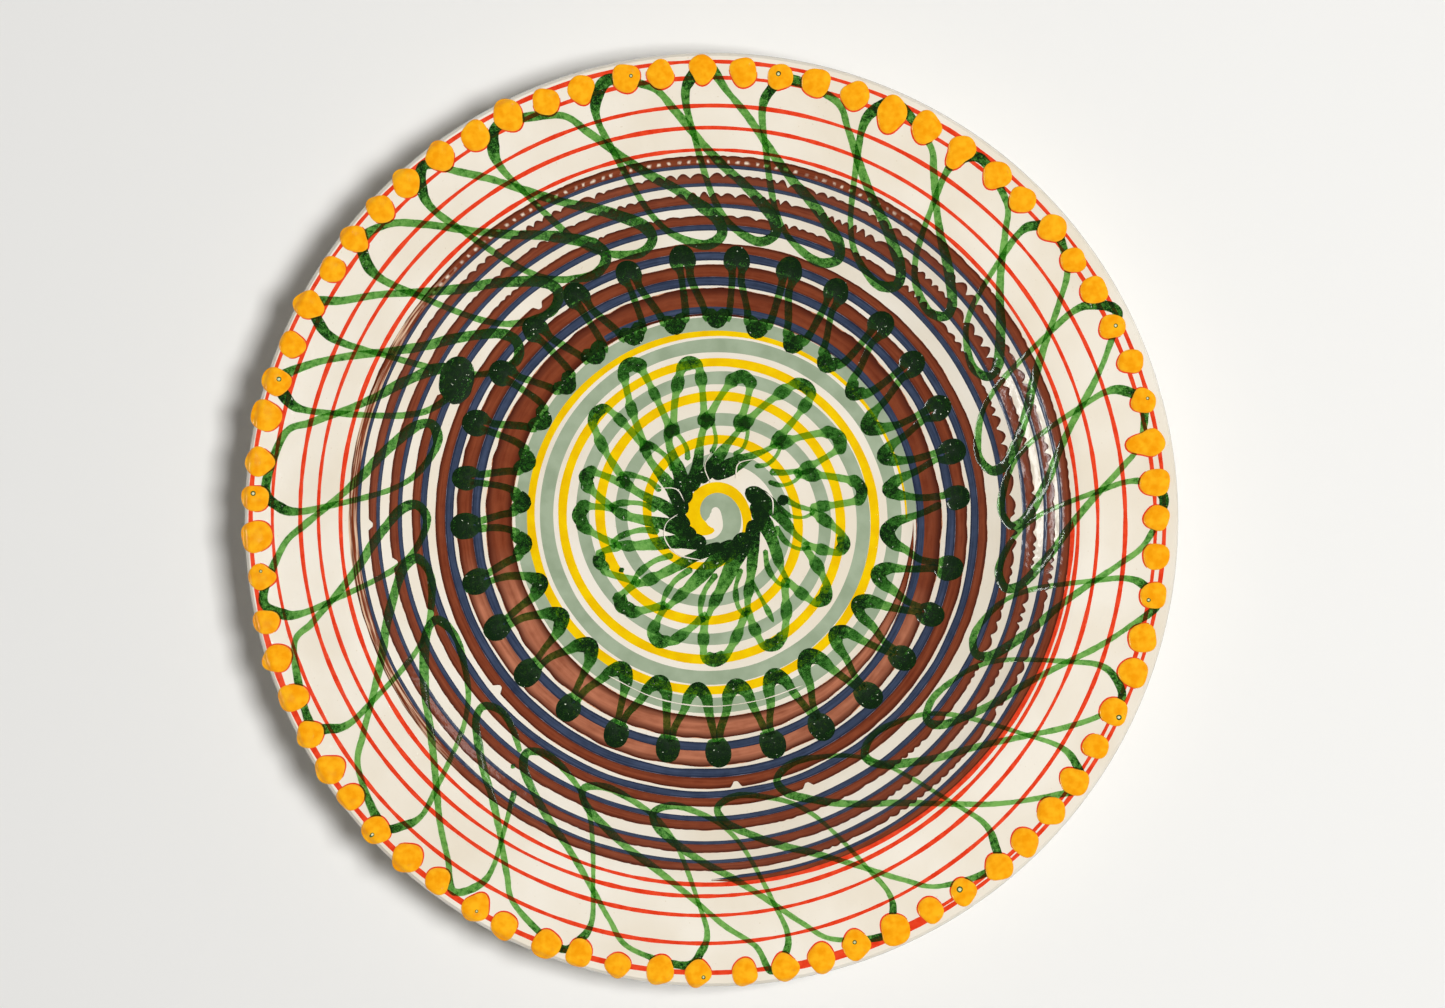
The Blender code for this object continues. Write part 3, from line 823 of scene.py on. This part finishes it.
# Each loop: where its top is, and where its foot is and how far out (degrees, degrees, millimetres).
LOOPS = [(-124.8, -138.5, 117.3), (-109.5, -125.8, 118.1), (-93.5, -112.5, 118.5)]
LOOPS += [(-82.5, -98.7, 118.9), (-67.5, -86, 114.4), (-51, -72.7, 106), (-36, -54.2, 111.2)]
LOOPS += [(-23.5, -40.4, 117.3), (-11, -24.8, 118.1), (2.3, -11, 120.1), (15, 1, 119.3)]
LOOPS += [(27, 12.1, 113.2), (40, 29.1, 124.4), (53, 42.7, 123.7), (66, 53.7, 118.5), (80, 66.3, 114.8)]
LOOPS += [(90.6, 79.3, 116.1), (103, 90, 113.2), (118, 104.1, 113.6), (129, 114.2, 112)]
LOOPS += [(141, 126.3, 108.4), (151.5, 139.6, 104), (162, 152, 118.5), (176, 163.3, 117.3)]
LOOPS += [(190, 179, 117.3), (206.5, 190.1, 118.1), (222.7, 203.1, 116.1)]
# Down one side of a loop, round its foot and up the other: share of the way to the foot, share of the drop,
# half width in millimetres, and thickness.
LOOP_SHAPE = [(0.03, 0.1, 2.4, 0.6), (0.0, 0.22, 1.6, 0.25), (0.06, 0.40, 1.4, 0.15)]
LOOP_SHAPE += [(0.13, 0.56, 1.35, 0.15), (0.2, 0.68, 1.35, 0.15), (0.29, 0.79, 1.35, 0.15)]
LOOP_SHAPE += [(0.45, 0.9, 1.4, 0.2), (0.7, 0.975, 1.7, 0.3), (0.95, 1.0, 2.1, 0.4)]
LOOP_SHAPE += [(1.13, 0.94, 2.3, 0.55), (1.06, 0.85, 2.4, 0.5), (0.82, 0.755, 2.3, 0.4)]
LOOP_SHAPE += [(0.6, 0.67, 2.1, 0.3), (0.4, 0.595, 2.0, 0.25), (0.2, 0.49, 1.8, 0.2)]
LOOP_SHAPE += [(0.04, 0.38, 1.7, 0.15), (-0.12, 0.25, 1.6, 0.15), (-0.3, 0.11, 1.5, 0.2)]
FIRST_KEY_PAST_GAP = 6  # the first loop's near side was never trailed


def loop_keys(loops):
    keys = []
    for number, (top, foot, foot_radius) in enumerate(loops):
        crest = 183.5 + 1.8 * math.sin(2.4 * number)
        upper = math.cos(math.radians(top - 110))
        heavy = 0.83 + 0.15 * upper
        shape = LOOP_SHAPE[FIRST_KEY_PAST_GAP:] if number == 0 else LOOP_SHAPE
        if number:
            keys.append((top, crest, 2.3 * heavy, 0.65))
        for share, drop, half, thick in shape:
            angle = top + 2.9 + (foot - top - 2.9) * share
            radius = crest + (foot_radius - crest) * drop
            keys.append((angle, radius, half * heavy, max(0.02, thick + 0.02 + 0.1 * upper)))
    last_top = loops[0][0] + 360
    keys += [(last_top, 184, 1.7, 0.4), (last_top + 2.4, 176, 1.5, 0.3), (last_top + 2.6, 166, 1.1, 0.2)]
    keys += [(last_top + 0.8, 150, 1.0, 0.2), (last_top - 1.2, 137, 1.5, 0.5)]
    return keys


def green_spot(name, angle, radius, size, thick=1.0):
    """A round bead of green where the trailer stopped."""
    nudge = math.degrees(size / radius) * 0.9
    keys = [(angle + turn, radius, size, thick) for turn in (-nudge, 0, nudge)]
    return green_line(name, keys, 0.3 * MM)


beads = [green_line("rim_loops", loop_keys(LOOPS)), green_spot("bead_1", 231.2, 130, 1.1, 0.5)]
big_bead = [(146.8, 122, 5.6, 1.0), (151.4, 119.5, 7.2, 1.0), (156, 116.5, 5.8, 1.0)]
beads.append(green_line("big_bead", big_bead, 0.25 * MM))
rim_loops = join(beads, "rim_loops")
hand_over(rim_loops, "green_glaze", "green_rim_loops")

# %% [markdown]
# The hairpins stand round the lower wall with their heads outwards. Each head ends in a round bead, where
# the trailer stopped and turned. Between the legs the line dips over the edge of the well and pools
# there.

# %% Wall hairpins
HAIRPIN_TOPS = [5.2, 15.9, 26.2, 37.8, 49, 61.4, 72.7, 84.5, 96.5, 108.8, 121.2, 133, 145, 157.8, 170.5]
HAIRPIN_TOPS += [181.7, 195, 207, 220, 233, 246, 259.3, 271.7, 285.3, 298, 311.8, 324, 336.6, 348.5]
HAIRPIN_TOPS += [365.2]
keys = []
for top, following in zip(HAIRPIN_TOPS, HAIRPIN_TOPS[1:]):
    reach = 107.3 + 5.5 * math.cos(math.radians(top - 95)) + chance.uniform(-0.7, 0.7)
    pool = 76.0 + 6.0 * math.cos(math.radians(top - 110)) + chance.uniform(-1.0, 1.0)
    gap = following - top
    keys += [(top - 1.5, reach - 9.5, 1.7, 0.4), (top - 1.5, reach - 6.5, 3.0, 0.9)]
    keys += [(top - 0.8, reach - 3.6, 3.5, 1.0), (top, reach - 2.9, 3.6, 1.0)]
    keys += [(top + 0.8, reach - 3.6, 3.5, 1.0), (top + 1.2, reach - 6.5, 3.0, 0.9)]
    keys += [(top + 0.8, reach - 9.5, 1.7, 0.4)]
    keys += [(top + 0.6, (reach + 85) / 2, 1.5, 0.3), (top + 0.6, 88, 1.5, 0.25)]
    close = 0.5 - 0.5 * math.cos(math.radians(top - 90))  # legs stand closer in pairs at the bottom
    near, far = 0.03 + 0.08 * close, 0.64 + 0.25 * close
    middle, wide, flare = (near + far) / 2, 0.17 + 0.05 * close, 0.06 + 0.03 * close
    neck, cap = 83.5 - 3.5 * close, pool + 3.2
    keys += [(top + (near + flare) * gap, neck, 1.8, 0.35), (top + (middle - wide) * gap, cap, 2.6, 0.6)]
    keys += [(top + middle * gap, pool, 3.3, 0.85), (top + (middle + wide) * gap, cap, 2.6, 0.6)]
    keys += [(top + (far - flare) * gap, neck, 1.8, 0.35), (top + far * gap, 88 - close, 1.5, 0.25)]
    keys += [(top + (0.4 * far + 0.6) * gap, (reach + 85) / 2, 1.5, 0.3)]
wall_hairpins = green_line("wall_hairpins", keys, 0.24 * MM)
hand_over(wall_hairpins, "green_glaze", "green_wall_hairpins")

# %% [markdown]
# The rosette's petals meet in a ring of crossings. From there a heavy stroke and a thin one beside it
# turn in to the pool round the eye. Both swell and darken where they lie over the grey band.

# %% Centre rosette
PETALS = [(11, 65.4), (32.7, 64.5), (54.8, 69.5), (77.5, 62.5), (98.1, 67.4), (118.3, 74.5)]
PETALS += [(137.3, 67), (161.3, 57), (178.3, 57), (201, 52), (224.4, 53.7), (246.7, 57), (271.2, 60.4)]
PETALS += [(297, 60), (325.2, 59.1), (349, 57.9)]
MEETING = 41.0  # how far out neighbouring petals run together
EYE = polar(48, 4.7)  # the middle of the eye, which the pools run round
BARE_SIDE = (345, 12)  # no stroke reaches the middle between these angles


def round_the_eye(sweep):
    """Keys measured from the eye near the middle, and from the plate's own middle further out."""
    moved = []
    for angle, radius, half, thick in sweep:
        x, y = polar(angle, radius) + EYE * min(max((36 - radius) / 16, 0), 1)
        moved.append((math.degrees(math.atan2(y, x)), math.hypot(x, y) / MM, half, thick))
    return moved


keys = []
strokes = []
for number, (top, reach) in enumerate(PETALS):
    following = PETALS[(number + 1) % len(PETALS)][0] + (360 if number + 1 == len(PETALS) else 0)
    gap = following - top
    leg = reach - MEETING
    keys += [(top - 0.2 * gap, MEETING, 2.2, 0.25), (top - 0.2 * gap, MEETING + 0.4 * leg, 1.75, 0.12)]
    keys += [(top - 0.18 * gap, MEETING + 0.75 * leg, 1.9, 0.18), (top - 0.14 * gap, reach - 3.2, 2.5, 0.45)]
    keys += [(top, reach - 1.9, 2.9, 0.68), (top + 0.14 * gap, reach - 3.2, 2.5, 0.5)]
    keys += [(top + 0.23 * gap, MEETING + 0.75 * leg, 2.0, 0.25)]
    keys += [(top + 0.45 * gap, MEETING + 0.4 * leg, 1.85, 0.15), (top + 0.74 * gap, MEETING, 2.2, 0.25)]
    at = top + 0.78 * gap + chance.uniform(-2, 2)
    fat = chance.uniform(0.8, 1.15)
    slim = 0.85 - 0.15 * math.cos(math.radians(top))  # the strokes on the left are the heaviest
    stroke = [(at, 42, 1.6 * slim, 0.18), (at + 4, 35.5, 2.0 * slim, 0.25)]
    stroke += [(at + 10, 29, 2.6 * fat * slim, 0.4)]
    if BARE_SIDE[1] < top < BARE_SIDE[0]:
        stroke += [(at + 19, 22.5, 2.9 * fat, 0.68), (at + 34, 17, 3.4 * fat, 0.95)]
        stroke += [(at + 54, 14.3, 2.4 * fat, 1.0)]
    beside = [(at - 1, 43, 1.3 * slim, 0.18), (at - 4, 38, 1.2 * slim, 0.15), (at - 4, 31, 1.3 * slim, 0.25)]
    beside += [(at + 3, 25, 1.6 * slim, 0.45)]
    strokes.append(green_line(f"stroke_{number}", round_the_eye(stroke), 0.25 * MM, swell=0.4))
    strokes.append(green_line(f"stroke_beside_{number}", round_the_eye(beside), 0.2 * MM, swell=0.4))
petals = green_line("petals", keys, 0.24 * MM, swell=0.6)
# On the bare side there is only a lens-shaped pool, with a blot beside it.
LENS = [(-14, 20, 1.6, 0.8), (2, 20.5, 2.8, 1.0), (18, 21.5, 3.4, 1.0), (34, 23, 1.8, 0.8)]
lens = green_line("lens", LENS)
blot = green_spot("blot", 15, 30.6, 2.6, 1.0)
STRAY = [(303, 30, 1.0, 0.3), (302, 40, 0.8, 0.1), (301.5, 45, 1.3, 0.4), (301, 50, 0.5, 0.1)]
stray = green_line("stray", STRAY)
pools = [petals, *strokes, lens, blot, stray, green_spot("dot", 209.4, 43.0, 1.3, 0.8)]
rosette = join(pools, "centre_rosette")
hand_over(rosette, "green_glaze", "green_centre_rosette")

# %% [markdown]
# Where the thick pool shrank in the firing it crawled open along hair-thin lines, which show the pale
# ground. A cut through the pool would leave ragged ends, so the lines are strips of the ground's glaze
# laid over it. The last one, round the lower edge of the well at about 78 mm, is no crawl but a painted
# highlight: a thin pale line where light glints on the bend from the floor of the well to its wall.

# %% Crawled glaze and a painted highlight
CRAWLS_AND_HIGHLIGHT = [[(172, 15), (186, 20), (203, 22), (225, 21), (255, 18)], [(28, 24), (18, 25.5), (4, 24.5)]]
CRAWLS_AND_HIGHLIGHT += [[(150, 14), (142, 20), (152, 27)], [(96, 15), (100, 22), (92, 28)]]
CRAWLS_AND_HIGHLIGHT += [[(62, 19), (66, 25), (56, 30)]]
# Painted highlight: this pale line along the edge of the well stands for light glinting on the bend from
# floor to wall.
CRAWLS_AND_HIGHLIGHT += [[(236, 78.6), (252, 78.2), (268, 77.9), (284, 77.6), (298, 78.4)]]
lines = []
for number, points in enumerate(CRAWLS_AND_HIGHLIGHT):
    run = run_through([polar(angle, radius) + WELL_MIDDLE for angle, radius in points], 0.5 * MM)
    gone = distance_along(run)
    half = (0.2 + 0.08 * wander(gone, 5 * MM)) * MM
    half = half * np.clip(np.minimum(gone, gone[-1] - gone) / (2 * MM), 0.1, 1)
    lines.append(lay_line(f"crawl_and_highlight_{number}", run, half, half, 0.05 * MM, cream, bed=0.78 * MM))
crawls_and_highlight = join(lines, "crawls_and_highlight")
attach(crawls_and_highlight, "root")

# %% [markdown]
# ## Orange drops
# Seventy-one drops are set round the rim by eye, nearly touching. Each is a low dome, seldom quite round,
# and some are dragged inwards into a tail. Each starts as a sphere. Its outline is pushed in and out by a
# few slow waves, it is flattened, and it is laid on the rim. Some have caught a bead of green that
# boiled, with a pale middle.

# %% Orange drops
drop_nodes = sorted(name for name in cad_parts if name.startswith("orange_drops_"))
per_node = math.ceil(DROPS / len(drop_nodes))
BLISTERED = (3, 5, 16, 20, 32, 35, 37, 44, 47, 53, 57, 60, 66, 69)
DROP_RISE, BEAD_RISE = 0.95 * MM, 0.3 * MM


def dome(middle, reach_at, rise, coat, heading=0.0, base=0.0, segments=40):
    """A low round bead. reach_at tells how far it reaches in each direction from its heading (degrees)."""
    deselect_all()
    bpy.ops.mesh.primitive_uv_sphere_add(segments=segments, ring_count=segments // 2, radius=1.0)
    bead = bpy.context.object
    co = np.empty(3 * len(bead.data.vertices))
    bead.data.vertices.foreach_get("co", co)
    co = co.reshape(-1, 3)
    turn = np.arctan2(co[:, 1], co[:, 0])
    reach = reach_at(turn) * np.hypot(co[:, 0], co[:, 1])
    turn = turn + math.radians(heading)
    x, y = middle[0] + reach * np.cos(turn), middle[1] + reach * np.sin(turn)
    lift = base + np.where(co[:, 2] > 0, rise * np.abs(co[:, 2]) ** 0.8, 0.25 * MM * co[:, 2])
    bead.data.vertices.foreach_set("co", on_face(x, y, lift).ravel())
    bead.data.materials.append(coat)
    bpy.ops.object.shade_smooth()
    return bead


def set_drop(number):
    angle, radius, size, tail, starts = drop_spots[number]
    middle = polar(angle, radius)
    beads = [dome(middle, lambda turn: outline(turn, size, tail, starts), DROP_RISE, orange_slip, angle)]
    if number in BLISTERED:
        spot = middle + chance.uniform(-2.4, 2.4, 2) * MM
        ring = chance.uniform(0.6, 1.4) * MM
        beads.append(dome(spot, lambda turn: ring, BEAD_RISE, green_bead, base=0.78 * MM, segments=16))
        beads.append(dome(spot, lambda turn: 0.6 * ring, BEAD_RISE, pale_bead, base=0.88 * MM, segments=16))
    return join(beads, f"drop_{number}")


for order, node in enumerate(drop_nodes):
    numbers = range(order * per_node, min((order + 1) * per_node, DROPS))
    drops = join([set_drop(number) for number in numbers], node.replace("orange", "rim"))
    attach(drops, "root")
    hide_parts(node)
print(DROPS, "drops in", len(drop_nodes), "pieces")
